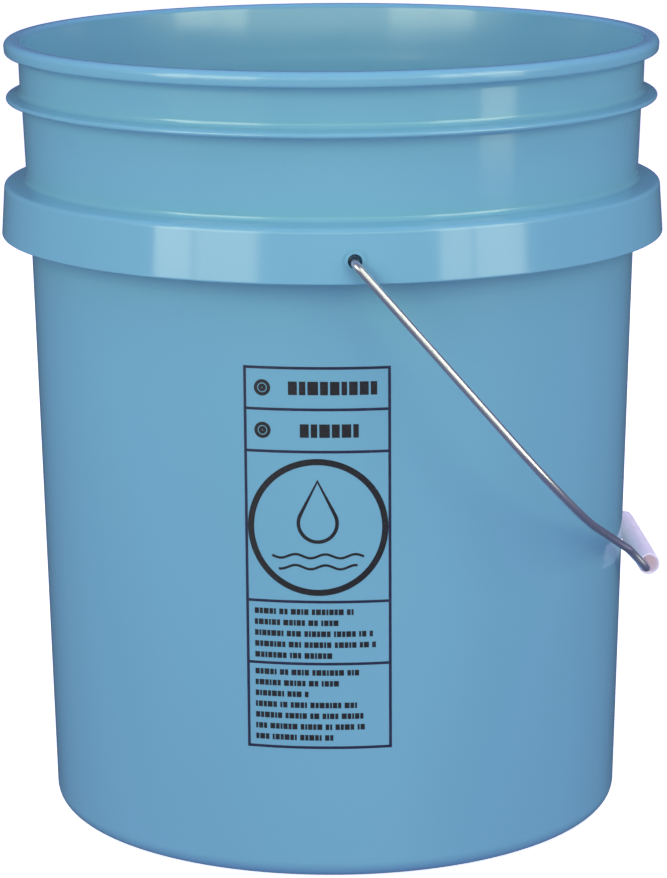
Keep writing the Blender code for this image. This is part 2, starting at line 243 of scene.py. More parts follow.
# name, azimuths from the camera's side in degrees, lower and upper edge in metres, strength
LIGHT_BOXES = (
    ("left_box_outer", (-59.7, -46.0), 0.145, 1.45, 3.9),
    ("left_box_inner", (-45.0, -23.7), 0.145, 1.45, 3.1),
    ("right_box_inner", (34.6, 45.8), 0.145, 1.45, 3.0),
    ("right_box_outer", (46.8, 65.5), 0.145, 1.45, 3.4),
    ("right_strip", (53.0, 66.5), 0.02, 0.145, 2.4),
)
BACK_BOX = ("back_box", (160.0, 200.0), 0.30, 1.10, 2.4)
OVERHEAD_COLOUR = (0.60, 0.56, 1.00)
OVERHEAD_STRENGTH = 2.0
OVERHEAD_SIZE = (1.6, 1.2)
OVERHEAD_PLACE = (0.0, -0.55, 1.9)
OVERHEAD_TILT = math.radians(-12)
FLOOR_HALF_SIZE = 6.0
FLOOR_EMISSION = 0.75

# ---- resolution: how many pieces each round or straight stretch is made of ----
ROUND_STEPS = 8
FILLET_STEPS = 6
CORNER_STEPS = 4
LIP_STEPS = 3
RING_EDGE_STEPS = 10
RING_MARK_STEPS = 120
DROP_STEPS = 32
DOT_STEPS = 40
FOOT_STEPS = 12
WALL_PIECES = 14
FLOOR_PIECES = 12
BASE_PIECES = 8
COLLAR_PIECES = 3
STEP_PIECES = 2
EDGE_START = 80  # degrees: where the ring's and the skirt's rounded edges leave the slope above them
SKIRT_EDGE_END = 4  # degrees: where the skirt's rounded edge meets its flared face
SHARP_ANGLE = math.radians(35)
ON_AXIS = 1e-7  # a smaller radius than this counts as the axis itself
FLAT_MARGIN = 0.3 * MM  # how near the ends of a straight stretch its own flat shading begins
SLIVER = 0.003 * MM  # points closer than this are merged after a Boolean
PAIL_STEPS = 256
EAR_SIDES = 48
WIRE_SIDES = 24
PIVOT_RUN_PIECES = 4
LEG_PIECES = 12
RUN_PIECES = 8
KICK_PIECES = 2
TIGHT_BEND_STEPS = 12
GRIP_BEND_STEPS = 14
WIDE_BEND_STEPS = 32
GRIP_STEPS = 96
GRIP_EDGE_STEPS = 5
GRIP_PIECES = 24


def arc(centre, radius, start, end, steps):
    """Points of an arc in the (radius, height) plane, from start to end in degrees."""
    points = []
    for index in range(steps + 1):
        angle = math.radians(start + (end - start) * index / steps)
        points.append((centre[0] + radius * math.cos(angle), centre[1] + radius * math.sin(angle)))
    return points


def circle(centre, radius, steps):
    """Points all round a circle, the last one short of the first."""
    angles = [math.tau * index / steps for index in range(steps)]
    return [(centre[0] + radius * math.cos(a), centre[1] + radius * math.sin(a)) for a in angles]


def line(start, end, steps):
    """Points after start, evenly spaced as far as end."""
    return [
        (start[0] + (end[0] - start[0]) * index / steps, start[1] + (end[1] - start[1]) * index / steps)
        for index in range(1, steps + 1)
    ]


def straight(start, end, steps=1):
    """Points after start as far as end, one close to either end to keep the shading between them flat."""
    start, end = Vector(start), Vector(end)
    near = FLAT_MARGIN / (end - start).length
    shares = [near + (1 - 2 * near) * index / steps for index in range(steps + 1)] + [1.0]
    return [tuple(start.lerp(end, share)) for share in shares]


def wall_radius(z):
    """Outer radius of the tapered wall."""
    return WALL_LOW_RADIUS + WALL_TAPER * (z - WALL_LOW_Z)


def skirt_radius(z, bottom_radius):
    """Radius of the skirt's outer face, which flares a little towards its lower edge."""
    share = (SKIRT_TOP_Z - z) / (SKIRT_TOP_Z - SKIRT_BOTTOM_Z)
    return SKIRT_TOP_RADIUS + share * (bottom_radius - SKIRT_TOP_RADIUS)


def inside_profile():
    """From the middle of the floor out and up the inner face to the mouth."""
    corner_z = FLOOR_Z + FLOOR_CORNER_RADIUS
    inner = wall_radius(corner_z) - WALL_THICKNESS
    wall_top = (wall_radius(SHELF_WALL_Z) - WALL_THICKNESS, SHELF_WALL_Z - SHELF_STEP_START)
    collar_low = (COLLAR_LOW_RADIUS - WALL_THICKNESS, SHELF_WALL_Z + SHELF_STEP_END)
    collar_high = (COLLAR_HIGH_RADIUS - WALL_THICKNESS, RING_EDGE_Z - RING_STEP_START)
    neck = (NECK_LOW_RADIUS - WALL_THICKNESS, RING_WALL_Z + RING_STEP_END)
    points = [(0.0, FLOOR_Z)]
    points += line(points[-1], (inner - FLOOR_CORNER_RADIUS, FLOOR_Z), FLOOR_PIECES)
    points += arc((inner - FLOOR_CORNER_RADIUS, corner_z), FLOOR_CORNER_RADIUS, -90, 0, ROUND_STEPS)[1:]
    points += line(points[-1], wall_top, WALL_PIECES)
    points += line(points[-1], collar_low, STEP_PIECES)
    points += line(points[-1], collar_high, COLLAR_PIECES)
    points += line(points[-1], neck, STEP_PIECES)
    return points


def rim_profile(height):
    """From the inner edge of the mouth over the bead and down to the neck."""
    inner = (RIM_INNER_RADIUS + RIM_INNER_ROUND, height - RIM_INNER_ROUND)
    outer = (RIM_RADIUS - RIM_OUTER_ROUND, height - RIM_OUTER_ROUND)
    lower = (RIM_RADIUS - RIM_LOWER_INSET - RIM_LOWER_ROUND, RIM_BOTTOM_Z + RIM_LOWER_ROUND)
    fillet = (NECK_HIGH_RADIUS + RIM_FILLET, RIM_BOTTOM_Z - RIM_FILLET_DROP - RIM_FILLET)
    points = arc(inner, RIM_INNER_ROUND, 180, 90, ROUND_STEPS)
    points += arc(outer, RIM_OUTER_ROUND, 90, 0, ROUND_STEPS)
    points += arc(lower, RIM_LOWER_ROUND, 0, -90, FILLET_STEPS)
    points += arc(fillet, RIM_FILLET, 90, 180, FILLET_STEPS)
    return points


def ring_profile():
    """The thin stacking ring, from the neck above it to the collar below it."""
    neck_top = (NECK_HIGH_RADIUS, RIM_BOTTOM_Z - RIM_FILLET_DROP - RIM_FILLET)
    fillet_centre = (NECK_LOW_RADIUS + RING_FILLET, RING_WALL_Z + RING_FILLET)
    edge_centre = (RING_EDGE_RADIUS - RING_HALF_THICKNESS, RING_EDGE_Z)
    root_centre = (COLLAR_HIGH_RADIUS + RING_HALF_THICKNESS, RING_EDGE_Z - RING_ROOT_DROP)
    fillet = arc(fillet_centre, RING_FILLET, 180, 270, FILLET_STEPS)
    edge = arc(edge_centre, RING_HALF_THICKNESS, EDGE_START, -90, RING_EDGE_STEPS)
    root = arc(root_centre, RING_HALF_THICKNESS, 90, 180, CORNER_STEPS)
    points = straight(neck_top, fillet[0]) + fillet[1:]
    points += straight(fillet[-1], edge[0]) + edge[1:]
    return points + root


def skirt_profile(bottom_radius):
    """The collar, the skirt's shelf, outer face and lower edge, then its open inside back to the wall."""
    collar_top = (COLLAR_HIGH_RADIUS, RING_EDGE_Z - RING_ROOT_DROP)
    fillet_centre = (COLLAR_LOW_RADIUS + SHELF_FILLET, SHELF_WALL_Z + SHELF_FILLET)
    edge_centre = (SKIRT_TOP_RADIUS - SKIRT_EDGE_RADIUS, SHELF_EDGE_Z - SKIRT_EDGE_RADIUS)
    lip_z = SKIRT_BOTTOM_Z + SKIRT_LIP_RADIUS
    outer_lip = (bottom_radius - SKIRT_LIP_RADIUS, lip_z)
    inner_lip = (bottom_radius - SKIRT_THICKNESS + SKIRT_LIP_RADIUS, lip_z)
    fillet = arc(fillet_centre, SHELF_FILLET, 180, 270, FILLET_STEPS)
    edge = arc(edge_centre, SKIRT_EDGE_RADIUS, EDGE_START, SKIRT_EDGE_END, ROUND_STEPS)
    points = straight(collar_top, fillet[0]) + fillet[1:]
    points += straight(fillet[-1], edge[0]) + edge[1:]
    points += straight(edge[-1], (bottom_radius, lip_z))
    points += arc(outer_lip, SKIRT_LIP_RADIUS, 0, -90, CORNER_STEPS)[1:]
    points += arc(inner_lip, SKIRT_LIP_RADIUS, -90, -180, LIP_STEPS)
    under_z = SHELF_EDGE_Z - SKIRT_THICKNESS
    corner = (skirt_radius(under_z, bottom_radius) - SKIRT_THICKNESS - SKIRT_CORNER, under_z - SKIRT_CORNER)
    points += arc(corner, SKIRT_CORNER, 0, 90, CORNER_STEPS)
    points.append((wall_radius(under_z) + SKIRT_CORNER, under_z + SHELF_RISE))
    points.append((wall_radius(under_z), under_z - SHELF_ROOT_DROP))
    return points


def base_profile():
    """Down the wall and round the foot to the middle of the underside."""
    corner = (wall_radius(FOOT_CORNER_RADIUS) - FOOT_CORNER_RADIUS, FOOT_CORNER_RADIUS)
    wall_top = (wall_radius(SKIRT_BOTTOM_Z), SKIRT_BOTTOM_Z)
    wall_bottom = (wall_radius(FOOT_CORNER_RADIUS), FOOT_CORNER_RADIUS)
    points = [wall_top] + straight(wall_top, wall_bottom, WALL_PIECES)
    points += arc(corner, FOOT_CORNER_RADIUS, 0, -90, FOOT_STEPS)[1:]
    points.append((FOOT_RING_INNER_RADIUS, 0.0))
    points.append((FOOT_RING_INNER_RADIUS - BASE_EDGE_WIDTH, BASE_EDGE_LOW))
    points.append((BASE_RECESS_RADIUS, BASE_RECESS - BASE_EDGE_HIGH))
    points.append((BASE_RECESS_RADIUS - BASE_EDGE_WIDTH, BASE_RECESS))
    points += line(points[-1], (GATE_RADIUS + GATE_SLOPE, BASE_RECESS), BASE_PIECES)
    points += arc((GATE_RADIUS, BASE_RECESS - GATE_DROP + GATE_ROUND), GATE_ROUND, 0, -90, LIP_STEPS)
    points.append((0.0, BASE_RECESS - GATE_DROP))
    return points


def revolve(name, profile, steps, closed=False):
    """Turns a profile round Z. Points on the axis become single points; a closed profile makes a torus."""
    shape = bmesh.new()
    rings = []
    for radius, z in profile:
        if radius < ON_AXIS:
            rings.append([shape.verts.new((0.0, 0.0, z))])
            continue
        rings.append([shape.verts.new((x, y, z)) for x, y in circle((0.0, 0.0), radius, steps)])
    pairs = list(zip(rings, rings[1:]))
    if closed:
        pairs.append((rings[-1], rings[0]))
    for first, second in pairs:
        for index in range(steps):
            following = (index + 1) % steps
            corners = [first[index % len(first)], second[index % len(second)]]
            corners += [second[following % len(second)], first[following % len(first)]]
            shape.faces.new(list(dict.fromkeys(corners)))
    bmesh.ops.recalc_face_normals(shape, faces=shape.faces)
    return finish_mesh(name, shape)


def finish_mesh(name, shape):
    """Turns a bmesh into an object of the scene."""
    mesh = bpy.data.meshes.new(name)
    shape.to_mesh(mesh)
    shape.free()
    obj = bpy.data.objects.new(name, mesh)
    bpy.context.scene.collection.objects.link(obj)
    return obj


def shade_round(obj):
    obj.data.shade_smooth()
    obj.data.set_sharp_from_angle(angle=SHARP_ANGLE)


def build_gussets(bottom_radius):
    """The ribs between the skirt and the wall: flat outlines, given their thickness by Solidify."""
    shape = bmesh.new()
    wall_side = wall_radius(GUSSET_WALL_Z) - GUSSET_ROOT
    skirt_side = skirt_radius(GUSSET_SKIRT_Z, bottom_radius) - GUSSET_ROOT
    outline = [
        (wall_side, GUSSET_WALL_Z),
        (skirt_side, GUSSET_SKIRT_Z),
        (skirt_side - GUSSET_ROOT, GUSSET_TOP_Z - SKIRT_EDGE_RADIUS),
        (skirt_side - SKIRT_EDGE_RADIUS - GUSSET_ROOT, GUSSET_TOP_Z),
        (wall_side, GUSSET_TOP_Z),
    ]
    for index in range(GUSSET_COUNT):
        turn = Matrix.Rotation(math.tau * (index + 0.5) / GUSSET_COUNT, 4, "Z")
        shape.faces.new([shape.verts.new(turn @ Vector((radius, 0.0, z))) for radius, z in outline])
    gussets = finish_mesh("gussets", shape)
    thickness = gussets.modifiers.new("thickness", "SOLIDIFY")
    thickness.thickness = GUSSET_THICKNESS
    thickness.offset = 0.0
    return gussets


def build_radial_cylinders(name, radius, near, far):
    """One cylinder through each ear, from the near to the far distance off the pail's axis."""
    shape = bmesh.new()
    for direction in (-1, 1):
        middle = Matrix.Translation((0.0, direction * (near + far) / 2, EAR_Z))
        bmesh.ops.create_cone(
            shape,
            cap_ends=True,
            segments=EAR_SIDES,
            radius1=radius,
            radius2=radius,
            depth=far - near,
            matrix=middle @ Matrix.Rotation(QUARTER_TURN, 4, "X"),
        )
    return finish_mesh(name, shape)


def apply_booleans(target, tools):
    """Joins or cuts each tool in turn, keeps the result as the target's own mesh, and removes the tools."""
    for tool, operation in tools:
        modifier = target.modifiers.new(tool.name, "BOOLEAN")
        modifier.operation = operation
        modifier.solver = "EXACT"
        modifier.object = tool
    graph = bpy.context.evaluated_depsgraph_get()
    result = bpy.data.meshes.new_from_object(target.evaluated_get(graph))
    target.modifiers.clear()
    target.data = result
    drop_slivers(target)
    for tool, _ in tools:
        bpy.data.objects.remove(tool, do_unlink=True)


def drop_slivers(obj):
    """Merges the points that a Boolean leaves almost on top of one another."""
    shape = bmesh.new()
    shape.from_mesh(obj.data)
    bmesh.ops.remove_doubles(shape, verts=shape.verts, dist=SLIVER)
    bmesh.ops.dissolve_degenerate(shape, edges=shape.edges, dist=SLIVER)
    shape.to_mesh(obj.data)
    shape.free()


def make_pail(material):
    """The whole moulding: the turned section with its ribs and its bored ears."""
    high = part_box("bucket_body")[1]
    bottom_radius = high.x
    profile = inside_profile() + rim_profile(high.z) + ring_profile()
    profile += skirt_profile(bottom_radius) + base_profile()
    pail = revolve("pail_moulding", profile, PAIL_STEPS)
    face = skirt_radius(EAR_Z, bottom_radius)
    back = face - SKIRT_THICKNESS
    boss_end = back - EAR_BOSS_DEPTH
    bosses = build_radial_cylinders("bosses", EAR_BOSS_RADIUS, boss_end, face - EAR_BOSS_ROOT)
    lips = build_radial_cylinders("lips", EAR_LIP_RADIUS, face - EAR_LIP_ROOT, face + EAR_LIP_HEIGHT)
    hole_start, hole_end = boss_end - HOLE_OVERRUN_INSIDE, face + HOLE_OVERRUN_OUTSIDE
    holes = build_radial_cylinders("holes", EAR_HOLE_RADIUS, hole_start, hole_end)
    gussets = build_gussets(bottom_radius)
    tools = [(gussets, "UNION"), (bosses, "UNION"), (lips, "UNION"), (holes, "DIFFERENCE")]
    apply_booleans(pail, tools)
    shade_round(pail)
    pail.data.materials.clear()
    pail.data.materials.append(material)
    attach(pail, "pail")
    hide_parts("bucket_body")
    return pail


class WirePath:
    """A centreline drawn like a bent wire, in (across, reach) metres with across along the ear axis."""

    def __init__(self, start, heading):
        self.place = Vector(start)
        self.heading = heading  # 0 runs down from the ears, a quarter turn runs outwards
        self.points = [self.place.copy()]
        self.radii = [WIRE_RADIUS]

    def step(self, length, pieces=1):
        for _ in range(pieces):
            forward = Vector((math.sin(self.heading), math.cos(self.heading)))
            self.place = self.place + length / pieces * forward
            self.points.append(self.place.copy())
            self.radii.append(WIRE_RADIUS)

    def bend(self, radius, turn, steps):
        for _ in range(steps):
            self.heading += turn / steps / 2
            self.step(2 * radius * math.sin(abs(turn) / steps / 2))
            self.heading += turn / steps / 2


def half_bail():
    """From the upset end in the ear out, down the leg, round the shoulder and into the grip."""
    path = WirePath((PIVOT_TIP, 0.0), QUARTER_TURN)
    path.radii[0] = PIVOT_HEAD_RADIUS - PIVOT_HEAD_ROUND
    path.step(PIVOT_HEAD_ROUND)
    path.radii[-1] = PIVOT_HEAD_RADIUS
    path.step(PIVOT_HEAD_LENGTH - PIVOT_HEAD_ROUND)
    path.radii[-1] = PIVOT_HEAD_RADIUS
    path.step(PIVOT_HEAD_SLOPE)
    path.step(LEG_OFFSET - PIVOT_BEND_RADIUS - path.place.x, PIVOT_RUN_PIECES)
    path.bend(PIVOT_BEND_RADIUS, LEG_TILT - path.heading, TIGHT_BEND_STEPS)
    path.step(LEG_LENGTH - PIVOT_BEND_RADIUS, LEG_PIECES)
    path.bend(SHOULDER_BEND_RADIUS, SHOULDER_SLOPE - QUARTER_TURN - LEG_TILT, WIDE_BEND_STEPS)
    path.step(SHOULDER_LENGTH, RUN_PIECES)
    path.bend(KICK_BEND_RADIUS, KICK_TURN, TIGHT_BEND_STEPS)
    path.step(KICK_LENGTH, KICK_PIECES)
    path.bend(GRIP_BEND_RADIUS, -QUARTER_TURN - path.heading, GRIP_BEND_STEPS)
    path.step(path.place.x, RUN_PIECES)
    return path.points, path.radii


def full_bail():
    """The half bail and its mirror image, joined in the middle of the grip."""
    points, radii = half_bail()
    mirrored = [Vector((-point.x, point.y)) for point in reversed(points[:-1])]
    return points + mirrored, radii + list(reversed(radii[:-1]))


def make_bail(material, pivot):
    """The wire as round sections square to its centreline, with the length along it kept as a UV map."""
    points, radii = full_bail()
    reach = Vector((math.sin(WIRE_REST_ANGLE), 0.0, -math.cos(WIRE_REST_ANGLE)))
    normal = Vector((math.cos(WIRE_REST_ANGLE), 0.0, math.sin(WIRE_REST_ANGLE)))
    places = [pivot + Vector((0.0, point.x, 0.0)) + reach * point.y for point in points]
    shape = bmesh.new()
    rings = []
    travelled = [0.0]
    for index, place in enumerate(places):
        before = places[max(index - 1, 0)]
        after = places[min(index + 1, len(places) - 1)]
        along = (after - before).normalized()
        sideways = along.cross(normal).normalized()
        section = circle((0.0, 0.0), radii[index], WIRE_SIDES)
        rings.append([shape.verts.new(place + u * sideways + v * normal) for u, v in section])
        if index:
            travelled.append(travelled[-1] + (place - before).length)
    layer = shape.loops.layers.uv.new("length")
    for index, (first, second) in enumerate(zip(rings, rings[1:])):
        for side in range(WIRE_SIDES):
            following = (side + 1) % WIRE_SIDES
            face = shape.faces.new((first[side], first[following], second[following], second[side]))
            across = (side, side + 1, side + 1, side)
            lengths = (travelled[index], travelled[index], travelled[index + 1], travelled[index + 1])
            for loop, step, length in zip(face.loops, across, lengths):
                loop[layer].uv = (step / WIRE_SIDES, length)
    shape.faces.new(rings[0])
    shape.faces.new(reversed(rings[-1]))
    bmesh.ops.recalc_face_normals(shape, faces=shape.faces)
    bail = finish_mesh("bail", shape)
    shade_round(bail)
    bail.data.materials.append(material)
    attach(bail, "bail")
    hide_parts("bail_wire")
    return bail


def make_grip(material):
    """The tube, turned round Z at the size of its CAD node and then laid along the ear axis."""
    low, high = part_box("handle_grip")
    half = (high.y - low.y) / 2
    radius = (high.z - low.z) / 2
    edge = GRIP_EDGE_ROUND
    chamfer = edge / 2
    outer = arc((radius - edge, half - edge), edge, 90, 0, GRIP_EDGE_STEPS)
    profile = [(GRIP_BORE_RADIUS, half - chamfer), (GRIP_BORE_RADIUS + chamfer, half)] + outer
    profile += line(outer[-1], (radius, edge - half), GRIP_PIECES)
    profile += arc((radius - edge, edge - half), edge, 0, -90, GRIP_EDGE_STEPS)[1:]
    profile += [(GRIP_BORE_RADIUS + chamfer, -half), (GRIP_BORE_RADIUS, chamfer - half)]
    profile += line(profile[-1], (GRIP_BORE_RADIUS, half - chamfer), GRIP_PIECES)[:-1]
    grip = revolve("grip_tube", profile, GRIP_STEPS, closed=True)
    grip.data.transform(Matrix.Rotation(QUARTER_TURN, 4, "X"))
    grip.data.transform(Matrix.Translation((low + high) / 2))
    shade_round(grip)
    grip.data.materials.append(material)
    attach(grip, "grip")
    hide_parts("handle_grip")
    return grip


def on_wall(across, z, height):
    """The point that far across the panel, at height z, standing off the wall."""
    radius = wall_radius(z)
    azimuth = PANEL_AZIMUTH + across / radius
    radius += height
    return Vector((radius * math.sin(azimuth), -radius * math.cos(azimuth), z))


class Ink:
    """Thin flat shapes laid on the wall. Each is a closed slab that reaches a little into the wall."""

    def __init__(self):
        self.shape = bmesh.new()

    def slab(self, outline_rows, closed=False):
        """Rows of (across, z) points, all of one length: the grid between them becomes a closed slab."""
        layers = []
        for height in (INK_HEIGHT, -INK_HEIGHT):
            rows = [[on_wall(u, z, height) for u, z in row] for row in outline_rows]
            layers.append([[self.shape.verts.new(point) for point in row] for row in rows])
        top, bottom = layers
        columns = len(outline_rows[0])
        pairs = [(c, (c + 1) % columns) for c in range(columns if closed else columns - 1)]
        for r in range(len(outline_rows) - 1):
            for c, d in pairs:
                self.shape.faces.new((top[r][c], top[r][d], top[r + 1][d], top[r + 1][c]))
                self.shape.faces.new((bottom[r][c], bottom[r + 1][c], bottom[r + 1][d], bottom[r][d]))
            if not closed:
                self.shape.faces.new((top[r][0], top[r + 1][0], bottom[r + 1][0], bottom[r][0]))
                self.shape.faces.new((top[r][-1], bottom[r][-1], bottom[r + 1][-1], top[r + 1][-1]))
        for c, d in pairs:
            self.shape.faces.new((top[0][c], bottom[0][c], bottom[0][d], top[0][d]))
            self.shape.faces.new((top[-1][c], top[-1][d], bottom[-1][d], bottom[-1][c]))

    def bar(self, left, right, low, high):
        """An upright rectangle, cut finely enough to follow the wall."""
        columns = max(2, math.ceil((right - left) / INK_STEP) + 1)
        across = [left + (right - left) * index / (columns - 1) for index in range(columns)]
        rows = max(2, math.ceil((high - low) / INK_ROW_STEP) + 1)
        heights = [low + (high - low) * index / (rows - 1) for index in range(rows)]
        self.slab([[(u, z) for u in across] for z in heights])

    def stroke(self, points, width, closed=False):
        """A line of even width through points; a closed one joins up with itself."""
        left, right = [], []
        count = len(points)
        for index, (u, z) in enumerate(points):
            before = points[(index - 1) % count] if closed or index else points[index]
            after = points[(index + 1) % count] if closed or index < count - 1 else points[index]
            run = Vector((after[0] - before[0], after[1] - before[1])).normalized()
            left.append((u - run.y * width / 2, z + run.x * width / 2))
            right.append((u + run.y * width / 2, z - run.x * width / 2))
        self.slab([right, left], closed)

    def finish(self, name, material):
        bmesh.ops.recalc_face_normals(self.shape, faces=self.shape.faces)
        obj = finish_mesh(name, self.shape)
        obj.data.materials.append(material)
        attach(obj, "pail")
        return obj


def draw_frame(ink):
    """The panel's outline and the lines that divide it."""
    half = PANEL_WIDTH / 2
    for side in (-1, 1):
        middle = side * (half - PANEL_LINE / 2)
        ink.bar(middle - PANEL_LINE / 2, middle + PANEL_LINE / 2, PANEL_BOTTOM, PANEL_TOP)
    inner = half - PANEL_LINE - PANEL_GAP
    for z in (PANEL_TOP - PANEL_LINE, PANEL_BOTTOM):
        ink.bar(-inner, inner, z, z + PANEL_LINE)
    for z in PANEL_DIVIDERS:
        ink.bar(-inner, inner, z - PANEL_LINE / 2, z + PANEL_LINE / 2)


def draw_ring_mark(ink):
    """A plain ring with a drop over two ripples."""
    ring = circle((0.0, RING_MARK_Z), RING_MARK_RADIUS - RING_MARK_STROKE / 2, RING_MARK_STEPS)
    ink.stroke(ring, RING_MARK_STROKE, closed=True)
    drop_z = RING_MARK_Z + DROP_RISE
    shoulder = math.degrees(math.asin(DROP_RADIUS / DROP_TIP))
    drop = [(0.0, drop_z + DROP_TIP)]
    drop += arc((0.0, drop_z), DROP_RADIUS, 180 - shoulder, 360 + shoulder, DROP_STEPS)
    ink.stroke(drop, DROP_STROKE, closed=True)
    for level in RIPPLE_LEVELS:
        half = math.sqrt(RING_MARK_RADIUS**2 - level**2) - RIPPLE_MARGIN
        ripple = []
        for index in range(RIPPLE_PIECES + 1):
            u = half * (2 * index / RIPPLE_PIECES - 1)
            ripple.append((u, RING_MARK_Z + level + RIPPLE_HEIGHT * math.sin(u / RIPPLE_LENGTH)))
        ink.stroke(ripple, RIPPLE_STROKE)


def draw_heading(ink, z, left, right):
    """A round dot and a row of short heavy bars, in place of a heading."""
    for ring_radius in DOT_RINGS:
        ink.stroke(circle((DOT_PLACE, z), ring_radius, DOT_STEPS), DOT_STROKE, closed=True)
    place = left
    for length in itertools.cycle(HEADING_BARS):
        width = length * MM
        if place + width >= right:
            break
        ink.bar(place, place + width, z - HEADING_HALF_HEIGHT, z + HEADING_HALF_HEIGHT)
        place += width + HEADING_GAP


def draw_lines(ink, top, lengths):
    """Rows of short bars in word-like groups, in place of small print, each row near its given length."""
    bars = itertools.cycle(PRINT_BARS)
    groups = itertools.cycle(PRINT_GROUPS)
    for row, length in enumerate(lengths):
        z = top - PRINT_PITCH * row
        end = PRINT_LEFT + length * MM
        place = PRINT_LEFT
        while place < end - PRINT_LEAST:
            for _ in range(next(groups)):
                width = next(bars) * MM
                if place + width < end:
                    ink.bar(place, place + width, z - PRINT_HALF_HEIGHT, z + PRINT_HALF_HEIGHT)
                place += width + PRINT_GAP
            place += PRINT_GROUP_GAP


def make_panel(line_material, ink_material):
    """The printed panel as two pieces, because its lines and its marks differ in colour."""
    frame = Ink()
    draw_frame(frame)
    frame.finish("print_frame", line_material)
    ink = Ink()
    draw_ring_mark(ink)
    for z, left, right in HEADINGS:
        draw_heading(ink, z, left, right)
    draw_lines(ink, UPPER_PRINT_Z, UPPER_PRINT_ROWS)
    draw_lines(ink, LOWER_PRINT_Z, LOWER_PRINT_ROWS)
    ink.finish("print_marks", ink_material)


# ---- materials ----


class Nodes:
    """Small helper that makes nodes and joins them in one material."""

    def __init__(self, name):
        self.material = bpy.data.materials.new(name)
        self.material.use_nodes = True
        self.tree = self.material.node_tree
        self.shader = self.tree.nodes["Principled BSDF"]

    def set(self, socket, value):
        self.shader.inputs[socket].default_value = value

    def add(self, kind, **values):
        node = self.tree.nodes.new(kind)
        for key, value in values.items():
            setattr(node, key, value)
        return node

    def link(self, source, target):
        self.tree.links.new(source, target)

    def place(self, scale=(1, 1, 1), source="Object"):
        coordinates = self.add("ShaderNodeTexCoord")
        mapping = self.add("ShaderNodeMapping")
        mapping.inputs["Scale"].default_value = scale
        self.link(coordinates.outputs[source], mapping.inputs["Vector"])
        return mapping.outputs["Vector"]

    def noise(self, vector, scale, detail=4.0, roughness=0.5):
        node = self.add("ShaderNodeTexNoise")
        node.inputs["Scale"].default_value = scale
        node.inputs["Detail"].default_value = detail
        node.inputs["Roughness"].default_value = roughness
        self.link(vector, node.inputs["Vector"])
        return node.outputs["Fac"]

    def ramp(self, value, low, high, from_value=0.0, to_value=1.0):
        node = self.add("ShaderNodeMapRange")
        node.inputs["From Min"].default_value = low
        node.inputs["From Max"].default_value = high
        node.inputs["To Min"].default_value = from_value
        node.inputs["To Max"].default_value = to_value
        self.link(value, node.inputs["Value"])
        return node.outputs["Result"]

    def math(self, operation, first, second):
        node = self.add("ShaderNodeMath", operation=operation)
        for socket, value in zip(node.inputs, (first, second)):
            if isinstance(value, (int, float)):
                socket.default_value = value
            else:
                self.link(value, socket)
        return node.outputs["Value"]

    def mix(self, share, first, second):
        node = self.add("ShaderNodeMix", data_type="RGBA")
        self.link(share, node.inputs["Factor"])
        for socket, value in zip((node.inputs[6], node.inputs[7]), (first, second)):
            if isinstance(value, tuple):
                socket.default_value = value
            else:
                self.link(value, socket)
        return node.outputs[2]

    def bump(self, height, distance, strength=1.0, after=None):
        node = self.add("ShaderNodeBump")
        node.inputs["Distance"].default_value = distance
        node.inputs["Strength"].default_value = strength
        self.link(height, node.inputs["Height"])
        if after is not None:
            self.link(after, node.inputs["Normal"])
        return node.outputs["Normal"]


def pail_plastic():
    """Light blue polyethylene: soft gloss, faint flow marks, scuffs round the foot and the skirt."""
    nodes = Nodes("blue_polyethylene")
    place = nodes.place()
    nodes.set("Specular IOR Level", 0.5)
    nodes.set("IOR", 1.52)
    flow = nodes.noise(nodes.place((1, 1, 0.25)), scale=14.0, detail=3.0)
    mottled = nodes.mix(nodes.ramp(flow, 0.3, 0.7), PAIL_BLUE, PAIL_BLUE_LIGHT)
    scuff_noise = nodes.noise(nodes.place((30, 30, 260)), scale=9.0, detail=6.0, roughness=0.65)
    scuffs = nodes.math("MULTIPLY", nodes.ramp(scuff_noise, 0.60, 0.72), worn_places(nodes, place))
    colour = nodes.mix(nodes.math("MULTIPLY", scuffs, 0.35), mottled, SCUFF_BLUE)
    nodes.link(colour, nodes.shader.inputs["Base Color"])
    fine = nodes.ramp(nodes.noise(place, scale=420.0, detail=3.0), 0.3, 0.7, 0.0, 0.02)
    broad = nodes.ramp(nodes.noise(place, scale=22.0, detail=4.0), 0.3, 0.7, 0.09, 0.14)
    roughness = nodes.math("ADD", nodes.math("ADD", broad, fine), nodes.math("MULTIPLY", scuffs, 0.25))
    nodes.link(roughness, nodes.shader.inputs["Roughness"])
    sink = nodes.noise(nodes.place((1, 1, 0.4)), scale=16.0, detail=2.0)
    waves = nodes.bump(sink, distance=0.6 * MM, strength=0.35)
    peel = nodes.noise(place, scale=160.0, detail=1.0)
    surface = nodes.bump(peel, distance=0.015 * MM, strength=0.5, after=waves)
    nodes.link(surface, nodes.shader.inputs["Normal"])
    return nodes.material


def worn_places(nodes, place):
    """How much a place is rubbed: the lowest part of the foot, and the outermost edge of the skirt."""
    parts = nodes.add("ShaderNodeSeparateXYZ")
    nodes.link(place, parts.inputs["Vector"])
    near_foot = nodes.ramp(parts.outputs["Z"], SCUFF_HEIGHT, 0.0)
    sideways = nodes.math("MULTIPLY", parts.outputs["X"], parts.outputs["X"])
    forwards = nodes.math("MULTIPLY", parts.outputs["Y"], parts.outputs["Y"])
    radius = nodes.math("SQRT", nodes.math("ADD", sideways, forwards), 0.0)
    skirt_edge = nodes.ramp(radius, SKIRT_TOP_RADIUS + SCUFF_EDGE_START, SKIRT_TOP_RADIUS + SCUFF_EDGE_END)
    return nodes.math("MAXIMUM", near_foot, skirt_edge)


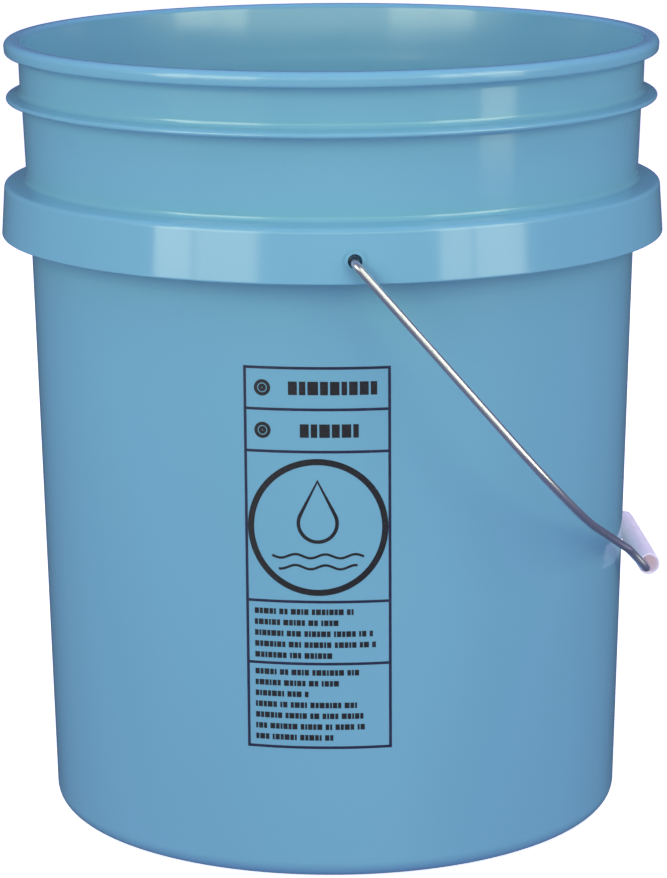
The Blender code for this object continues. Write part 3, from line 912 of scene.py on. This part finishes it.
def bail_steel():
    """Bright galvanised wire: fine draw lines along it and a faint spangle."""
    nodes = Nodes("galvanised_steel")
    nodes.set("Metallic", 0.85)
    lines = nodes.noise(nodes.place((60, 3, 1), source="UV"), scale=9.0, detail=4.0, roughness=0.6)
    spangle = nodes.noise(nodes.place(), scale=520.0, detail=2.0)
    shade = nodes.math("ADD", nodes.math("MULTIPLY", lines, 0.75), nodes.math("MULTIPLY", spangle, 0.25))
    colour = nodes.mix(nodes.ramp(shade, 0.35, 0.65), ZINC_DARK, ZINC_LIGHT)
    nodes.link(colour, nodes.shader.inputs["Base Color"])
    nodes.link(nodes.ramp(shade, 0.35, 0.65, 0.36, 0.26), nodes.shader.inputs["Roughness"])
    nodes.link(nodes.bump(lines, distance=0.04 * MM, strength=0.4), nodes.shader.inputs["Normal"])
    return nodes.material


def grip_plastic():
    """White tube that lets a little light through, with a faint painted glow from a weak emission: faint
    extrusion lines and patches of grime.
    """
    nodes = Nodes("white_tube_plastic")
    nodes.set("Specular IOR Level", 0.45)
    nodes.set("Subsurface Weight", 0.6)
    nodes.set("Subsurface Radius", (1.0, 0.9, 0.95))
    nodes.set("Subsurface Scale", 2.0 * MM)
    # painted glow: a weak emission makes the tube brighter than the lamps alone would
    nodes.set("Emission Color", GRIP_PAINTED_GLOW)
    nodes.set("Emission Strength", 0.14)
    lines = nodes.noise(nodes.place((260, 6, 260)), scale=6.0, detail=3.0)
    patches = nodes.noise(nodes.place(), scale=90.0, detail=5.0, roughness=0.6)
    colour = nodes.mix(nodes.ramp(patches, 0.50, 0.72), GRIP_WHITE, GRIP_GRIME)
    nodes.link(colour, nodes.shader.inputs["Base Color"])
    nodes.link(nodes.ramp(patches, 0.3, 0.7, 0.36, 0.48), nodes.shader.inputs["Roughness"])
    nodes.link(nodes.bump(lines, distance=0.08 * MM, strength=0.5), nodes.shader.inputs["Normal"])
    return nodes.material


def print_ink(name, full, thin):
    """Ink that is a little thinner in places."""
    nodes = Nodes(name)
    wear = nodes.noise(nodes.place(), scale=700.0, detail=4.0, roughness=0.6)
    nodes.link(nodes.mix(nodes.ramp(wear, 0.52, 0.75), full, thin), nodes.shader.inputs["Base Color"])
    nodes.link(nodes.ramp(wear, 0.3, 0.7, 0.38, 0.55), nodes.shader.inputs["Roughness"])
    return nodes.material


# ---- stage ----


def make_camera():
    """The camera circles the pail's axis at its azimuth and looks slightly down."""
    data = bpy.data.cameras.new("camera")
    data.lens = CAMERA_LENS
    data.sensor_width = CAMERA_SENSOR
    camera = bpy.data.objects.new("camera", data)
    bpy.context.scene.collection.objects.link(camera)
    x = CAMERA_DISTANCE * math.sin(CAMERA_AZIMUTH)
    y = -CAMERA_DISTANCE * math.cos(CAMERA_AZIMUTH)
    turn = Matrix.Rotation(CAMERA_AZIMUTH, 4, "Z") @ Matrix.Rotation(QUARTER_TURN - CAMERA_PITCH, 4, "X")
    roll = Matrix.Rotation(CAMERA_ROLL, 4, "Z")
    camera.matrix_world = Matrix.Translation((x, y, CAMERA_HEIGHT)) @ turn @ roll
    bpy.context.scene.camera = camera


def area_light(name, size, colour, strength):
    """A rectangle of light that the camera doesn't see. Its strength is the light from each patch of it."""
    data = bpy.data.lights.new(name, "AREA")
    data.shape = "RECTANGLE"
    data.size, data.size_y = size
    data.color = colour
    data.energy = strength * data.size * data.size_y * math.pi
    light = bpy.data.objects.new(name, data)
    bpy.context.scene.collection.objects.link(light)
    light.visible_camera = False
    return light


def soft_box(name, azimuths, low, high, strength):
    """An upright light that spans two azimuths, in degrees from the camera's side, and faces the pail."""
    middle = CAMERA_AZIMUTH + math.radians(sum(azimuths) / 2)
    width = 2 * LIGHT_DISTANCE * math.tan(math.radians(azimuths[1] - azimuths[0]) / 2)
    light = area_light(name, (width, high - low), KEY_COLOUR, strength)
    x, y = LIGHT_DISTANCE * math.sin(middle), -LIGHT_DISTANCE * math.cos(middle)
    light.location = (x, y, (low + high) / 2)
    light.rotation_euler = (QUARTER_TURN, 0.0, middle)
    return light


def overhead_box():
    """A wide light above and a little in front, which fills the shelf, the rim and the inside."""
    light = area_light("overhead_box", OVERHEAD_SIZE, OVERHEAD_COLOUR, OVERHEAD_STRENGTH)
    light.location = OVERHEAD_PLACE
    light.rotation_euler = (OVERHEAD_TILT, 0.0, 0.0)
    light.visible_glossy = False


def make_lights():
    for box in LIGHT_BOXES:
        soft_box(*box)
    back = soft_box(*BACK_BOX)
    back.visible_glossy = False
    overhead_box()


def background(tree, colour, strength):
    node = tree.nodes.new("ShaderNodeBackground")
    node.inputs["Color"].default_value = (*colour, 1)
    node.inputs["Strength"].default_value = strength
    return node.outputs["Background"]


def smooth_range(tree, source, limits):
    node = tree.nodes.new("ShaderNodeMapRange")
    node.interpolation_type = "SMOOTHSTEP"
    node.inputs["From Min"].default_value, node.inputs["From Max"].default_value = limits
    tree.links.new(source, node.inputs["Value"])
    return node.outputs["Result"]


def make_world():
    """White behind the pail, blue fill for its shading, and a dim room with a bright front for its gloss."""
    world = bpy.data.worlds.new("studio")
    world.use_nodes = True
    tree = world.node_tree
    tree.nodes.clear()
    direction = tree.nodes.new("ShaderNodeTexCoord")
    parts = tree.nodes.new("ShaderNodeSeparateXYZ")
    tree.links.new(direction.outputs["Generated"], parts.inputs["Vector"])
    glow = smooth_range(tree, parts.outputs["Z"], GLOW_START)
    below = smooth_range(tree, parts.outputs["Z"], GLOW_END)
    front = smooth_range(tree, parts.outputs["Y"], GLOW_FRONT)
    for share in (below, front):
        product = tree.nodes.new("ShaderNodeMath")
        product.operation = "MULTIPLY"
        tree.links.new(glow, product.inputs[0])
        tree.links.new(share, product.inputs[1])
        glow = product.outputs["Value"]
    room = background(tree, ROOM_COLOUR, 1.0)
    bright_front = background(tree, KEY_COLOUR, FRONT_GLOW)
    fill = background(tree, FILL_COLOUR, 1.0)
    white = background(tree, (1, 1, 1), 1.0)
    path = tree.nodes.new("ShaderNodeLightPath")
    gloss = mix_shaders(tree, glow, room, bright_front)
    shading = mix_shaders(tree, path.outputs["Is Glossy Ray"], fill, gloss)
    shader = mix_shaders(tree, path.outputs["Is Camera Ray"], shading, white)
    output = tree.nodes.new("ShaderNodeOutputWorld")
    tree.links.new(shader, output.inputs["Surface"])
    bpy.context.scene.world = world


def mix_shaders(tree, share, first, second):
    mix = tree.nodes.new("ShaderNodeMixShader")
    tree.links.new(share, mix.inputs["Fac"])
    tree.links.new(first, mix.inputs[1])
    tree.links.new(second, mix.inputs[2])
    return mix.outputs["Shader"]


def make_floor():
    """A pale floor that only the camera and the shadows see, so that it lends the pail no colour."""
    shape = bmesh.new()
    bmesh.ops.create_grid(shape, x_segments=1, y_segments=1, size=FLOOR_HALF_SIZE)
    floor = finish_mesh("floor", shape)
    nodes = Nodes("pale_floor")
    nodes.set("Base Color", FLOOR_WHITE)
    nodes.set("Roughness", 0.9)
    nodes.set("Specular IOR Level", 0.0)
    nodes.set("Emission Color", (1.0, 1.0, 1.0, 1))
    nodes.set("Emission Strength", FLOOR_EMISSION)
    floor.data.materials.append(nodes.material)
    floor.visible_glossy = False
    floor.visible_diffuse = False


def main():
    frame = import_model()
    pivot = Vector(next(j["pos_m"] for j in frame["joints"] if j["name"] == "bail_swing"))
    make_camera()
    make_lights()
    make_world()
    make_floor()
    make_pail(pail_plastic())
    make_bail(bail_steel(), pivot)
    make_grip(grip_plastic())
    line_ink = print_ink("navy_line_ink", NAVY_INK, NAVY_INK_THIN)
    make_panel(line_ink, print_ink("black_mark_ink", BLACK_INK, BLACK_INK_THIN))
    bpy.context.scene.view_settings.view_transform = "Standard"


main()
